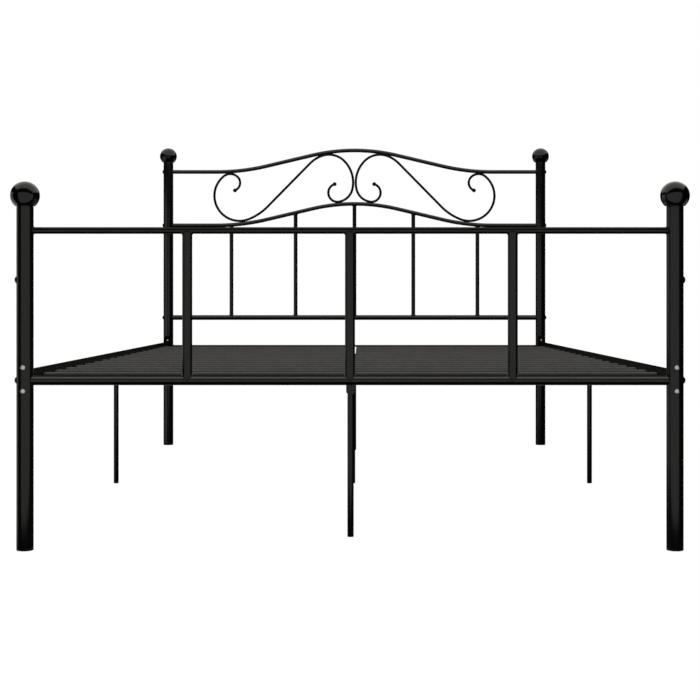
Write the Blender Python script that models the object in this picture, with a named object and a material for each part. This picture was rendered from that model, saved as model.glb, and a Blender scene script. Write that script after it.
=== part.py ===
"""Metal bed frame for a mattress 1.2 m wide and 2 m long, in metres, +Z up.

The origin is on the floor under the middle of the bed. The footboard is at -Y, the headboard at +Y.
"Left" is -X. Pieces that touch are kept GAP apart, and welded tubes are coped round their neighbour.
"""

import math

import bmesh
import bpy
from mathutils import Matrix, Vector

GAP = 0.0003

# Posts, with their ball finials and foot caps
POST_SPAN_X = 1.230
POST_SPAN_Y = 2.040
POST_RADIUS = 0.016
POST_WALL = 0.0015
HEAD_POST_TOP = 0.932
FOOT_POST_TOP = 0.650
FINIAL_RADIUS = 0.02765
FINIAL_HALF_HEIGHT = 0.0265
FINIAL_CENTRE_RISE = 0.021
FINIAL_STEM = 0.018
CAP_HEIGHT = 0.020
CAP_FLANGE = 0.004
CAP_EDGE = 0.0015

# Headboard: two rails with the same crown, a straight rail below them, spindles and scrolls
CROWN_TUBE_RADIUS = 0.00635
CROWN_RADIUS = 0.611
CROWN_SLOPE = math.radians(13.3)
CROWN_STRAIGHT = 0.1548
CROWN_FOOT_RADIUS = 0.710
CROWN_RISE = 0.071
TOP_RAIL_END_Z = 0.9019
MIDDLE_RAIL_END_Z = 0.7253
HEAD_LOWER_RAIL_Z = 0.4206
HEAD_LOWER_RAIL_RADIUS = 0.008
HEAD_CROSS_RAIL_Z = 0.3268
HEAD_CROSS_RAIL_RADIUS = 0.0032
SPINDLE_RADIUS = 0.00635
SPINDLE_X = (-0.4065, -0.1945, 0.0, 0.1945, 0.4065)
SCROLL_WIRE_RADIUS = 0.004
SCROLL_BALL_RADIUS = 0.0065
SCROLL_ORIGIN = (0.247, 0.828)
SCROLL_HEADING = math.radians(-45.5)
# Each end of a scroll is a straight and then arcs, as (radius, degrees turned).
INNER_STRAIGHT = 0.143
INNER_ARCS = ((0.103, 26), (0.071, 65), (0.101, 57), (0.054, 70), (0.030, 170))
OUTER_STRAIGHT = 0.058
OUTER_ARCS = ((0.178, 24), (0.083, 85), (0.083, 77), (0.035, 82), (0.027, 116))

# Footboard
FOOT_TOP_RAIL_Z = 0.6049
FOOT_TOP_RAIL_RADIUS = 0.00635
FOOT_LOWER_RAIL_RADIUS = 0.0095
FOOT_BAR_RADIUS = 0.0095
FOOT_BAR_X = 0.308
FOOT_LOWER_RAIL_Z = 0.3216
TUBE_WALL = 0.0012

# Side rails: an angle whose upright flange is outside, with an upright end plate behind each post
ANGLE_WIDTH = 0.030
ANGLE_THICKNESS = 0.0025
ANGLE_BASE_Z = 0.312
ANGLE_HEIGHT = 0.0295
MIDDLE_JOINT_GAP = 0.003
END_PLATE_SIZE = (0.021, 0.003, 0.072)
END_PLATE_Z = 0.324

# Slats: flat oval tubes welded to an inner rail, which makes one panel for each quarter of the deck.
# The head panels reach a little past mid-length, with one more slat over the side rails' joint.
LAST_SLAT = 8
FIRST_SLAT = {"foot": 1, "head": 0}
SLAT_PITCH = 0.1082
SLAT_WIDTH = 0.034
SLAT_HEIGHT = 0.0145
SLAT_WALL = 0.001
SLAT_INNER_X = 0.0065
SLAT_OUTER_X = 0.611
INNER_RAIL_X = (0.007, 0.032)
INNER_RAIL_HEIGHT = 0.008
INNER_RAIL_START = {"foot": 0.0215, "head": -0.0185}
WELD_DEPTH = 0.0002
PANEL_OVERHANG = 0.022

# Legs under the middle of the bed
LEG_RADIUS = 0.00635
CENTRE_LEG_Y = {"foot": -0.862, "middle": 0.0, "head": 0.853}
CENTRE_PLATE_SIZE = (0.060, 0.030, 0.0022)
JOINT_PLATE_DEPTH = 0.060
CENTRE_TAB_SIZE = (0.0176, 0.0025, 0.020)
CENTRE_TAB_CORNER = 0.003
SIDE_PLATE_SIZE = (0.036, 0.060, 0.0022)
SIDE_PLATE_INSET = 0.011

# Bolts
SHANK_RADIUS = 0.003
SHANK_CLEARANCE = 0.0003
HOLE_END_GAP = 0.001
HOLE_ABOVE_HEAD = 0.01
RAIL_BOLT_Z = {"lower": 0.3014, "upper": 0.3459}
RAIL_BOLT_HEAD = (0.0045, 0.004)
RAIL_BOLT_LENGTH = 0.0389
DOME_HEAD = (0.0065, 0.003)
# Bolt heads from the crown to the seat, as shares of the head's radius and height
RAIL_BOLT_SHAPE = ((0, 1), (0.75, 1), (1, 0.75), (1, 0))
DOME_SHAPE = ((0, 1), (0.55, 0.88), (0.9, 0.45), (1, 0))
DOME_LENGTH = 0.044
DOME_SHORT_LENGTH = 0.006
HEAD_DOME_Z = {"lower": HEAD_LOWER_RAIL_Z, "middle": MIDDLE_RAIL_END_Z, "top": TOP_RAIL_END_Z}
FOOT_DOME_Z = {"lower": FOOT_LOWER_RAIL_Z, "upper": 0.5115}

POST_SIDES = 20
FINIAL_SIDES = 16
TUBE_SIDES = 12
SMALL_SIDES = 8
WIRE_SIDES = 6
BALL_STEPS_BELOW = 3
BALL_STEPS_ABOVE = 5
CROWN_DEGREES_PER_STEP = 3.4
SCROLL_DEGREES_PER_STEP = 15
SLAT_EDGE_STEPS = 4
SHARP_ANGLE = math.radians(35)
SIDES = {"left": -1, "right": 1}
ENDS = {"foot": -1, "head": 1}
UP = Vector((0, 0, 1))


def clear_scene():
    for obj in list(bpy.data.objects):
        bpy.data.objects.remove(obj, do_unlink=True)


def new_material(name, colour, metallic, roughness):
    material = bpy.data.materials.new(name)
    material.use_nodes = True
    shader = material.node_tree.nodes["Principled BSDF"]
    shader.inputs["Base Color"].default_value = (*colour, 1)
    shader.inputs["Metallic"].default_value = metallic
    shader.inputs["Roughness"].default_value = roughness
    return material


def new_group(name):
    """An empty at the origin, which holds one part of the bed."""
    group = bpy.data.objects.new(name, None)
    bpy.context.scene.collection.objects.link(group)
    return group


def new_object(name, bm, material, group, location=(0, 0, 0)):
    """An object of its own from a closed bmesh, shaded smooth between its sharp edges."""
    bmesh.ops.recalc_face_normals(bm, faces=bm.faces)
    mesh = bpy.data.meshes.new(name)
    bm.to_mesh(mesh)
    bm.free()
    mesh.materials.append(material)
    mesh.shade_smooth()
    mesh.set_sharp_from_angle(angle=SHARP_ANGLE)
    obj = bpy.data.objects.new(name, mesh)
    bpy.context.scene.collection.objects.link(obj)
    obj.location = location
    obj.parent = group
    return obj


def hide(obj):
    """Makes an object a helper for Boolean modifiers."""
    obj.hide_render = True
    obj.display_type = "WIRE"
    return obj


def combine(obj, operation, *others):
    for other in others:
        modifier = obj.modifiers.new(f"{operation.lower()} {other.name}", "BOOLEAN")
        modifier.operation = operation
        modifier.object = other


def add_ring(bm, centre, across, along, radius, sides):
    steps = [2 * math.pi * i / sides for i in range(sides)]
    return [bm.verts.new(centre + radius * (math.cos(a) * across + math.sin(a) * along)) for a in steps]


def bridge(bm, first, second):
    """Faces between two rings with the same number of points."""
    for i in range(len(first)):
        j = (i + 1) % len(first)
        bm.faces.new((first[i], first[j], second[j], second[i]))


def path_tangents(path):
    ends = [path[0], *path, path[-1]]
    return [(after - before).normalized() for before, after in zip(ends, ends[2:])]


def sweep(path, radius, wall, sides):
    """A tube along a path in the XZ plane. It is solid if wall is 0, and otherwise open at both ends."""
    bm = bmesh.new()
    across = Vector((0, 1, 0))
    skins = []
    for skin_radius in (radius, radius - wall) if wall else (radius,):
        skins.append(
            [
                add_ring(bm, point, across, tangent.cross(across), skin_radius, sides)
                for point, tangent in zip(path, path_tangents(path))
            ]
        )
    for rings in skins:
        for first, second in zip(rings, rings[1:]):
            bridge(bm, first, second)
    for end in (0, -1):
        if wall:
            bridge(bm, skins[0][end], skins[1][end])
        else:
            bm.faces.new(skins[0][end])
    return bm


def turn(profile, sides, turned_to=None):
    """A solid turned round +Z from (radius, height) points that start and end on the axis."""
    bm = bmesh.new()
    rings = []
    for radius, height in profile[1:-1]:
        rings.append(add_ring(bm, height * UP, Vector((1, 0, 0)), Vector((0, 1, 0)), radius, sides))
    for first, second in zip(rings, rings[1:]):
        bridge(bm, first, second)
    for (_, height), ring in ((profile[0], rings[0]), (profile[-1], rings[-1])):
        pole = bm.verts.new(height * UP)
        for i in range(sides):
            bm.faces.new((ring[i], ring[(i + 1) % sides], pole))
    if turned_to:
        turning = UP.rotation_difference(Vector(turned_to)).to_matrix()
        bmesh.ops.rotate(bm, cent=(0, 0, 0), matrix=turning, verts=bm.verts)
    return bm


def extrude_outline(bm, outline, depth):
    """A prism from an outline's points, pushed along the depth vector."""
    near = [bm.verts.new(point) for point in outline]
    far = [bm.verts.new(Vector(point) + Vector(depth)) for point in outline]
    bridge(bm, near, far)
    bm.faces.new(near)
    bm.faces.new(far)


def box(low, high):
    bm = bmesh.new()
    size = Vector(high) - Vector(low)
    middle = Matrix.Translation((Vector(high) + Vector(low)) / 2)
    bmesh.ops.create_cube(bm, size=1, matrix=middle @ Matrix.Diagonal((*size, 1)))
    return bm


def arc_chain(start, heading, straight, arcs, degrees_per_step):
    """A path in the XZ plane: a straight, and then arcs, each tangent to the one before it."""
    x, z = start
    path = [(x, z), (x + straight * math.cos(heading), z + straight * math.sin(heading))]
    for radius, degrees in arcs:
        x, z = path[-1]
        side = math.copysign(1, degrees)
        centre = (x - side * radius * math.sin(heading), z + side * radius * math.cos(heading))
        steps = max(1, round(abs(degrees) / degrees_per_step))
        for i in range(1, steps + 1):
            turned = heading + math.radians(degrees) * i / steps
            offset = (side * radius * math.sin(turned), -side * radius * math.cos(turned))
            path.append((centre[0] + offset[0], centre[1] + offset[1]))
        heading += math.radians(degrees)
    return path


def crown_path(end_z):
    """A headboard rail's centre line, from post to post: level, up over the crown and level again."""
    slope = math.degrees(CROWN_SLOPE)
    step = CROWN_DEGREES_PER_STEP
    half = arc_chain((0, end_z + CROWN_RISE), 0, 0, ((CROWN_RADIUS, -slope),), step)[1:]
    half += arc_chain(half[-1], -CROWN_SLOPE, CROWN_STRAIGHT, ((CROWN_FOOT_RADIUS, slope),), step)[1:]
    half.append((POST_SPAN_X / 2, end_z))
    whole = [(-x, z) for x, z in reversed(half)] + half[1:]
    return [Vector((x, 0, z)) for x, z in whole]


def level_path(z):
    return [Vector((-POST_SPAN_X / 2, 0, z)), Vector((POST_SPAN_X / 2, 0, z))]


def upright_path(bottom, top):
    return [Vector((0, 0, bottom)), Vector((0, 0, top))]


def scroll_path(side):
    """The centre line of the wire, from the ball end near the middle to the ball end near the post."""
    step = SCROLL_DEGREES_PER_STEP
    inner = arc_chain(SCROLL_ORIGIN, SCROLL_HEADING + math.pi, INNER_STRAIGHT, INNER_ARCS, step)
    outer = arc_chain(SCROLL_ORIGIN, SCROLL_HEADING, OUTER_STRAIGHT, OUTER_ARCS, step)
    whole = list(reversed(inner)) + outer[1:]
    return [Vector((side * x, 0, z)) for x, z in whole]


def post_cutters(group, material):
    """Solids a little wider than the posts, which cope the ends of the tubes that meet them."""
    cutters = {}
    for end, end_sign in ENDS.items():
        bm = bmesh.new()
        for side_sign in SIDES.values():
            middle = Vector((side_sign * POST_SPAN_X / 2, 0, 0))
            across, along = Vector((0, 1, 0)), Vector((1, 0, 0))
            rings = [add_ring(bm, middle + z * UP, across, along, POST_RADIUS + GAP, POST_SIDES) for z in (0, 1)]
            bridge(bm, *rings)
            bm.faces.new(rings[0])
            bm.faces.new(rings[1])
        name = f"{end}_posts_cutter"
        cutters[end] = hide(new_object(name, bm, material, group, (0, end_sign * POST_SPAN_Y / 2, 0)))
    return cutters


def bolt_list():
    """Each bolt as (name, point under its head, direction its head faces, head size, length, is domed)."""
    bolts = []
    for side, side_sign in SIDES.items():
        for end, end_sign in ENDS.items():
            x = side_sign * POST_SPAN_X / 2
            y = end_sign * POST_SPAN_Y / 2
            seat = POST_RADIUS + GAP
            for level, z in RAIL_BOLT_Z.items():
                name = f"rail_bolt_{end}_{side}_{level}"
                point = (x, y + end_sign * seat, z)
                bolts.append((name, point, (0, end_sign, 0), RAIL_BOLT_HEAD, RAIL_BOLT_LENGTH, False))
            for level, z in (HEAD_DOME_Z if end == "head" else FOOT_DOME_Z).items():
                name = f"dome_bolt_{end}_{side}_{level}"
                length = DOME_SHORT_LENGTH if level == "upper" else DOME_LENGTH
                point = (x + side_sign * seat, y, z)
                bolts.append((name, point, (side_sign, 0, 0), DOME_HEAD, length, True))
    return bolts


def bolt_profile(head, length, domed):
    radius, height = head
    shape = DOME_SHAPE if domed else RAIL_BOLT_SHAPE
    profile = [(radius * across, height * up) for across, up in shape]
    return profile + [(SHANK_RADIUS, 0), (SHANK_RADIUS, -length), (0, -length)]


def make_bolts(materials, group):
    """The bolts, and the one cutter that makes all their holes."""
    holes = bmesh.new()
    for name, point, facing, head, length, domed in bolt_list():
        bm = turn(bolt_profile(head, length, domed), SMALL_SIDES, facing)
        new_object(name, bm, materials["black" if domed else "zinc"], group, point)
        radius = SHANK_RADIUS + SHANK_CLEARANCE
        top, bottom = HOLE_ABOVE_HEAD, -length - HOLE_END_GAP
        hole = turn([(0, top), (radius, top), (radius, bottom), (0, bottom)], SMALL_SIDES, facing)
        bmesh.ops.translate(hole, vec=point, verts=hole.verts)
        mesh = bpy.data.meshes.new("hole")
        hole.to_mesh(mesh)
        hole.free()
        holes.from_mesh(mesh)
        bpy.data.meshes.remove(mesh)
    return hide(new_object("bolt_holes_cutter", holes, materials["zinc"], group))


def make_posts(materials, group, holes):
    for end, end_sign in ENDS.items():
        top = HEAD_POST_TOP if end == "head" else FOOT_POST_TOP
        for side, side_sign in SIDES.items():
            place = (side_sign * POST_SPAN_X / 2, end_sign * POST_SPAN_Y / 2, 0)
            bm = sweep(upright_path(CAP_FLANGE + GAP, top), POST_RADIUS, POST_WALL, POST_SIDES)
            post = new_object(f"{end}_post_{side}", bm, materials["black"], group, place)
            combine(post, "DIFFERENCE", holes)
            seat = (place[0], place[1], top + GAP)
            finial = turn(finial_profile(), FINIAL_SIDES)
            new_object(f"{end}_finial_{side}", finial, materials["gloss"], group, seat)
            new_object(f"{end}_post_cap_{side}", turn(cap_profile(), POST_SIDES), materials["plastic"], group, place)


def finial_profile():
    """A slightly flattened ball that is cut off flat on the post, with a stem that plugs the tube."""
    stem = POST_RADIUS - POST_WALL - GAP
    seat = math.asin(FINIAL_CENTRE_RISE / FINIAL_HALF_HEIGHT)
    below = [-seat * i / BALL_STEPS_BELOW for i in range(BALL_STEPS_BELOW, 0, -1)]
    above = [math.pi / 2 * i / BALL_STEPS_ABOVE for i in range(BALL_STEPS_ABOVE)]
    profile = [(0, -FINIAL_STEM), (stem, -FINIAL_STEM), (stem, 0)]
    for angle in below + above:
        height = FINIAL_CENTRE_RISE + FINIAL_HALF_HEIGHT * math.sin(angle)
        profile.append((FINIAL_RADIUS * math.cos(angle), height))
    return profile + [(0, FINIAL_CENTRE_RISE + FINIAL_HALF_HEIGHT)]


def cap_profile():
    """A plastic plug in the post's lower end, with a flange that is flush with the tube."""
    plug = POST_RADIUS - POST_WALL - GAP
    flange = [(POST_RADIUS - CAP_EDGE, 0), (POST_RADIUS, CAP_EDGE), (POST_RADIUS, CAP_FLANGE)]
    return [(0, 0), *flange, (plug, CAP_FLANGE), (plug, CAP_HEIGHT), (0, CAP_HEIGHT)]


def make_headboard(materials, group, cutters):
    """The welded lattice between the head posts, in the plane of the post centres."""
    y = POST_SPAN_Y / 2
    black = materials["black"]
    rails = {
        "headboard_top_rail": (crown_path(TOP_RAIL_END_Z), CROWN_TUBE_RADIUS, SMALL_SIDES),
        "headboard_middle_rail": (crown_path(MIDDLE_RAIL_END_Z), CROWN_TUBE_RADIUS, SMALL_SIDES),
        "headboard_lower_rail": (level_path(HEAD_LOWER_RAIL_Z), HEAD_LOWER_RAIL_RADIUS, TUBE_SIDES),
        "head_cross_rail": (level_path(HEAD_CROSS_RAIL_Z), HEAD_CROSS_RAIL_RADIUS, TUBE_SIDES),
    }
    rail_cutters = {}
    for name, (path, radius, sides) in rails.items():
        rail = new_object(name, sweep(path, radius, TUBE_WALL, sides), black, group, (0, y, 0))
        combine(rail, "DIFFERENCE", cutters["head"])
        cutter = sweep(path, radius + GAP, 0, sides)
        rail_cutters[name] = hide(new_object(f"{name}_cutter", cutter, black, group, (0, y, 0)))
    for number, x in enumerate(SPINDLE_X, 1):
        top = middle_rail_height(x)
        bm = sweep(upright_path(HEAD_LOWER_RAIL_Z, top), SPINDLE_RADIUS, TUBE_WALL, SMALL_SIDES)
        spindle = new_object(f"headboard_spindle_{number}", bm, black, group, (x, y, 0))
        combine(spindle, "DIFFERENCE", rail_cutters["headboard_lower_rail"], rail_cutters["headboard_middle_rail"])
    for side, side_sign in SIDES.items():
        scroll = new_object(f"scroll_{side}", scroll_wire(side_sign), black, group, (0, y, 0))
        balls = hide(new_object(f"scroll_{side}_balls", scroll_balls(side_sign), black, group, (0, y, 0)))
        combine(scroll, "UNION", balls)
        combine(scroll, "DIFFERENCE", rail_cutters["headboard_top_rail"], rail_cutters["headboard_middle_rail"])


def middle_rail_height(x):
    """The height of the middle rail's centre line at x."""
    path = crown_path(MIDDLE_RAIL_END_Z)
    before, after = next(pair for pair in zip(path, path[1:]) if pair[0].x <= x <= pair[1].x)
    return before.z + (after.z - before.z) * (x - before.x) / (after.x - before.x)


def scroll_wire(side_sign):
    return sweep(scroll_path(side_sign), SCROLL_WIRE_RADIUS, 0, WIRE_SIDES)


def scroll_balls(side_sign):
    bm = bmesh.new()
    path = scroll_path(side_sign)
    for centre in (path[0], path[-1]):
        place = Matrix.Translation(centre)
        bmesh.ops.create_uvsphere(
            bm, u_segments=SMALL_SIDES, v_segments=WIRE_SIDES, radius=SCROLL_BALL_RADIUS, matrix=place
        )
    return bm


def make_footboard(materials, group, cutters):
    y = -POST_SPAN_Y / 2
    black = materials["black"]
    rails = {
        "footboard_top_rail": (FOOT_TOP_RAIL_Z, FOOT_TOP_RAIL_RADIUS),
        "footboard_lower_rail": (FOOT_LOWER_RAIL_Z, FOOT_LOWER_RAIL_RADIUS),
    }
    rail_cutters = []
    for name, (z, radius) in rails.items():
        rail = new_object(name, sweep(level_path(z), radius, TUBE_WALL, TUBE_SIDES), black, group, (0, y, 0))
        combine(rail, "DIFFERENCE", cutters["foot"])
        cutter = sweep(level_path(z), radius + GAP, 0, TUBE_SIDES)
        rail_cutters.append(hide(new_object(f"{name}_cutter", cutter, black, group, (0, y, 0))))
    top = FOOT_TOP_RAIL_Z - FOOT_TOP_RAIL_RADIUS / 2
    for name, x in (("left", -FOOT_BAR_X), ("centre", 0), ("right", FOOT_BAR_X)):
        bm = sweep(upright_path(FOOT_LOWER_RAIL_Z, top), FOOT_BAR_RADIUS, TUBE_WALL, TUBE_SIDES)
        bar = new_object(f"footboard_bar_{name}", bm, black, group, (x, y, 0))
        combine(bar, "DIFFERENCE", *rail_cutters)


def make_side_rails(materials, group, holes):
    """Half-length angles, which meet over the middle legs. Each is welded to an end plate."""
    black = materials["black"]
    outer = POST_SPAN_X / 2
    plate_x, plate_y, plate_z = END_PLATE_SIZE
    far = POST_SPAN_Y / 2 - POST_RADIUS - GAP
    for end, end_sign in ENDS.items():
        for side, side_sign in SIDES.items():
            inner = outer - ANGLE_WIDTH
            web = outer - ANGLE_THICKNESS
            floor, shelf, top = ANGLE_BASE_Z, ANGLE_BASE_Z + ANGLE_THICKNESS, ANGLE_BASE_Z + ANGLE_HEIGHT
            corners = ((inner, floor), (outer, floor), (outer, top), (web, top), (web, shelf), (inner, shelf))
            start = end_sign * MIDDLE_JOINT_GAP / 2
            length = end_sign * (far - plate_y / 2) - start
            bm = bmesh.new()
            extrude_outline(bm, [(side_sign * x, start, z) for x, z in corners], (0, length, 0))
            rail = new_object(f"side_rail_{end}_{side}", bm, black, group)
            low = (side_sign * outer - plate_x / 2, -far, END_PLATE_Z - plate_z / 2)
            high = (side_sign * outer + plate_x / 2, -far + plate_y, END_PLATE_Z + plate_z / 2)
            if end == "head":
                low, high = (low[0], far - plate_y, low[2]), (high[0], far, high[2])
            plate = hide(new_object(f"end_plate_{end}_{side}", box(low, high), black, group))
            combine(rail, "UNION", plate)
            combine(rail, "DIFFERENCE", holes)


def slat_outline(width, height):
    """A flat oval in the YZ plane, with half-round edges."""
    radius = height / 2
    outline = []
    for centre, start in ((width / 2 - radius, -90), (-width / 2 + radius, 90)):
        for i in range(SLAT_EDGE_STEPS + 1):
            angle = math.radians(start + 180 * i / SLAT_EDGE_STEPS)
            outline.append((centre + radius * math.cos(angle), radius * math.sin(angle)))
    return outline


def add_slat(bm, side_sign, y, z):
    """One slat across half of the bed, open at its ends."""
    skins = []
    for inset in (0, SLAT_WALL):
        outline = slat_outline(SLAT_WIDTH - 2 * inset, SLAT_HEIGHT - 2 * inset)
        skins.append(
            [
                [bm.verts.new((side_sign * x, y + across, z + up)) for across, up in outline]
                for x in (SLAT_INNER_X, SLAT_OUTER_X)
            ]
        )
    for rings in skins:
        bridge(bm, *rings)
    for end in (0, 1):
        bridge(bm, skins[0][end], skins[1][end])


def make_slat_panels(materials, group):
    """Slats that rest on the side rail's shelf and are welded on an inner rail, a flat box tube."""
    black = materials["black"]
    slat_base = ANGLE_BASE_Z + ANGLE_THICKNESS + GAP
    rail_top = slat_base + WELD_DEPTH
    inner, outer = INNER_RAIL_X
    rail_end = LAST_SLAT * SLAT_PITCH + PANEL_OVERHANG
    for end, end_sign in ENDS.items():
        for side, side_sign in SIDES.items():
            skins = []
            bm = bmesh.new()
            for inset in (0, TUBE_WALL):
                low, high = rail_top - INNER_RAIL_HEIGHT + inset, rail_top - inset
                x0, x1 = side_sign * (inner + inset), side_sign * (outer - inset)
                corners = ((x0, low), (x1, low), (x1, high), (x0, high))
                ends = (end_sign * INNER_RAIL_START[end], end_sign * rail_end)
                skins.append([[bm.verts.new((x, y, z)) for x, z in corners] for y in ends])
            for rings in skins:
                bridge(bm, *rings)
            for index in (0, 1):
                bridge(bm, skins[0][index], skins[1][index])
            panel = new_object(f"slat_panel_{end}_{side}", bm, black, group)
            slats = bmesh.new()
            for number in range(FIRST_SLAT[end], LAST_SLAT + 1):
                add_slat(slats, side_sign, end_sign * number * SLAT_PITCH, slat_base + SLAT_HEIGHT / 2)
            combine(panel, "UNION", hide(new_object(f"slats_{end}_{side}", slats, black, group)))


def make_leg(name, materials, group, place, plate_low, plate_high, tab=None):
    """A tube with a plate welded on its top, and for a centre leg a tab down its front."""
    black = materials["black"]
    top = plate_low[2] + CENTRE_PLATE_SIZE[2] / 2
    leg = new_object(name, sweep(upright_path(0, top), LEG_RADIUS, TUBE_WALL, SMALL_SIDES), black, group, place)
    combine(leg, "UNION", hide(new_object(f"{name}_plate", box(plate_low, plate_high), black, group)))
    if tab:
        combine(leg, "UNION", hide(new_object(f"{name}_tab", tab, black, group)))


def centre_tab(y, top):
    """A plate in front of the leg, with its lower corners cut off."""
    width, thickness, height = CENTRE_TAB_SIZE
    half, corner = width / 2, CENTRE_TAB_CORNER
    front = y - LEG_RADIUS - thickness + 2 * WELD_DEPTH
    right = [(half, top), (half, top - height + corner), (half - corner, top - height)]
    outline = right + [(-x, z) for x, z in reversed(right)]
    bm = bmesh.new()
    extrude_outline(bm, [(x, front, z) for x, z in outline], (0, thickness, 0))
    return bm


def make_legs(materials, group):
    slat_base = ANGLE_BASE_Z + ANGLE_THICKNESS + GAP
    plate_top = slat_base + WELD_DEPTH - INNER_RAIL_HEIGHT - GAP
    width, depth, thickness = CENTRE_PLATE_SIZE
    for name, y in CENTRE_LEG_Y.items():
        half_y = (JOINT_PLATE_DEPTH if name == "middle" else depth) / 2
        low, high = (-width / 2, y - half_y, plate_top - thickness), (width / 2, y + half_y, plate_top)
        tab = centre_tab(y, plate_top - thickness / 2)
        make_leg(f"centre_leg_{name}", materials, group, (0, y, 0), low, high, tab)
    half_x, half_y, thickness = SIDE_PLATE_SIZE[0] / 2, SIDE_PLATE_SIZE[1] / 2, SIDE_PLATE_SIZE[2]
    top = ANGLE_BASE_Z - GAP
    for side, side_sign in SIDES.items():
        x = side_sign * POST_SPAN_X / 2
        middle = x - side_sign * SIDE_PLATE_INSET
        low, high = (middle - half_x, -half_y, top - thickness), (middle + half_x, half_y, top)
        make_leg(f"middle_leg_{side}", materials, group, (x, 0, 0), low, high)


def main():
    clear_scene()
    materials = {
        "black": new_material("black_powder_coat", (0.020, 0.020, 0.021), 0.0, 0.38),
        "gloss": new_material("black_gloss_plastic", (0.012, 0.012, 0.012), 0.0, 0.12),
        "plastic": new_material("black_matt_plastic", (0.018, 0.018, 0.018), 0.0, 0.55),
        "zinc": new_material("zinc_plated_steel", (0.62, 0.63, 0.64), 1.0, 0.35),
    }
    cutters = post_cutters(new_group("cutters"), materials["black"])
    holes = make_bolts(materials, new_group("bolts"))
    make_posts(materials, new_group("posts"), holes)
    make_headboard(materials, new_group("headboard"), cutters)
    make_footboard(materials, new_group("footboard"), cutters)
    make_side_rails(materials, new_group("side_rails"), holes)
    make_slat_panels(materials, new_group("deck"))
    make_legs(materials, new_group("legs"))


main()
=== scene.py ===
from math import asin, atan2, copysign, cos, degrees, pi, radians, sin, sqrt, tan

import bpy
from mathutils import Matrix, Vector


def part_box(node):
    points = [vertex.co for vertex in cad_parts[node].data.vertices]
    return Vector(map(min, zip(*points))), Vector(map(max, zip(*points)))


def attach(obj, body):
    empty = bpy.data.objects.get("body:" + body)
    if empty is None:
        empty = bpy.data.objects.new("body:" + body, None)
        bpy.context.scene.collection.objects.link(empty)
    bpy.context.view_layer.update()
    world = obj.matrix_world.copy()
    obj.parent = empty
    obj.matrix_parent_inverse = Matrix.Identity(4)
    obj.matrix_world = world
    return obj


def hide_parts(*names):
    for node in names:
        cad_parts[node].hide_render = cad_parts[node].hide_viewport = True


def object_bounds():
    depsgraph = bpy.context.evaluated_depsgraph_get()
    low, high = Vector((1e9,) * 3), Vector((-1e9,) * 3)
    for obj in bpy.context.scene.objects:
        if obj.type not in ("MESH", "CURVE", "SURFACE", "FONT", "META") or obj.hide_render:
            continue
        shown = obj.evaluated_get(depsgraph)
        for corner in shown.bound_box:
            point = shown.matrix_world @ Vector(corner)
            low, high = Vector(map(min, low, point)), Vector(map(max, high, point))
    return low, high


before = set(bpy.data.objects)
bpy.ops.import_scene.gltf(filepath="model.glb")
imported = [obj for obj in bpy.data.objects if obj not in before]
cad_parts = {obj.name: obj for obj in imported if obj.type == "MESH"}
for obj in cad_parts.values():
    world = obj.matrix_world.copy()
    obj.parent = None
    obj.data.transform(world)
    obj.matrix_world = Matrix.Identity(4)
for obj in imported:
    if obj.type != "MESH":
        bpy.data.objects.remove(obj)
cad_low, cad_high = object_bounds()

# The bed is seen from the foot. +X is to the right, +Y towards the headboard, +Z up, all in metres.
X = Vector((1, 0, 0))
Y = Vector((0, 1, 0))
Z = Vector((0, 0, 1))
SIDES = (("left", -1), ("right", 1))
ENDS = (("foot", -1), ("head", 1))

ROUND_STEPS = 64        # sides of posts, finials and caps
BOLT_STEPS = 48         # sides of bolt heads
TUBE_STEPS = 40         # sides of rails, bars, spindles and legs
WIRE_STEPS = 20         # sides of the scrolls' wire and of bolt shanks
SHARP_ANGLE = radians(38)

EDGE = 0.0004           # rounding of sawn and sheared edges
TUBE_EDGE = 0.0003      # rounding of the slats' and inner rails' rims
SINK = 0.0004           # how far a welded end reaches into its neighbour
RAIL_WELD = 0.0014      # radii of weld beads
UPRIGHT_WELD = 0.0015
LEG_WELD = 0.0016
WELD_RIPPLES = 22

POST_WALL = 0.0015
PLUG_GAP = 0.0003       # between a post and what plugs it
FINIAL_RISE = 0.021     # middle of the ball above the end of the post
FINIAL_STEPS = 44       # rings up the ball
PARTING_RINGS = (11, 12)
PARTING_DEPTH = 0.0001
STEM_CHAMFER = 0.0015
COLLAR_EDGE = 0.0005
COLLAR_PROUD = 0.0002   # how far the finial's collar stands out from the post
COLLAR_HEIGHT = 0.0011
BALL_START = 0.0012     # above the foot of the collar
CAP_FOOT_RADIUS = 0.0016
CAP_LIP_RADIUS = 0.0003
CAP_TIP = (0.001, 0.002)    # chamfer at the top of the plug: across and up

CROWN_RISE = 0.071
CROWN_RADIUS = 0.611
CROWN_SLOPE = radians(13.3)
CROWN_STRAIGHT = 0.1548
CROWN_FOOT_RADIUS = 0.710
CROWN_STEP = 1.2        # degrees

SCROLL_ORIGIN = (0.247, 0.828)
SCROLL_HEADING = radians(-45.5)
INNER_STRAIGHT = 0.143
INNER_ARCS = ((0.103, 26), (0.071, 65), (0.101, 57), (0.054, 70), (0.030, 170))
OUTER_STRAIGHT = 0.058
OUTER_ARCS = ((0.178, 24), (0.083, 85), (0.083, 77), (0.035, 82), (0.027, 116))
SCROLL_STEP = 3.0       # degrees
SCROLL_WIRE = 0.004     # radius
SCROLL_BALL = 0.0065    # radius of the balls on the wire's ends
SCROLL_TACKS = ((0.087, 0.9615), (0.0515, 0.799), (0.374, 0.738), (0.4125, 0.8975))
TACK_RADIUS = 0.0030
TACK_HEIGHT = 0.0016
TACK_DEPTH = 0.0026     # from the middle of the wire to a tack, front and back

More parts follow.
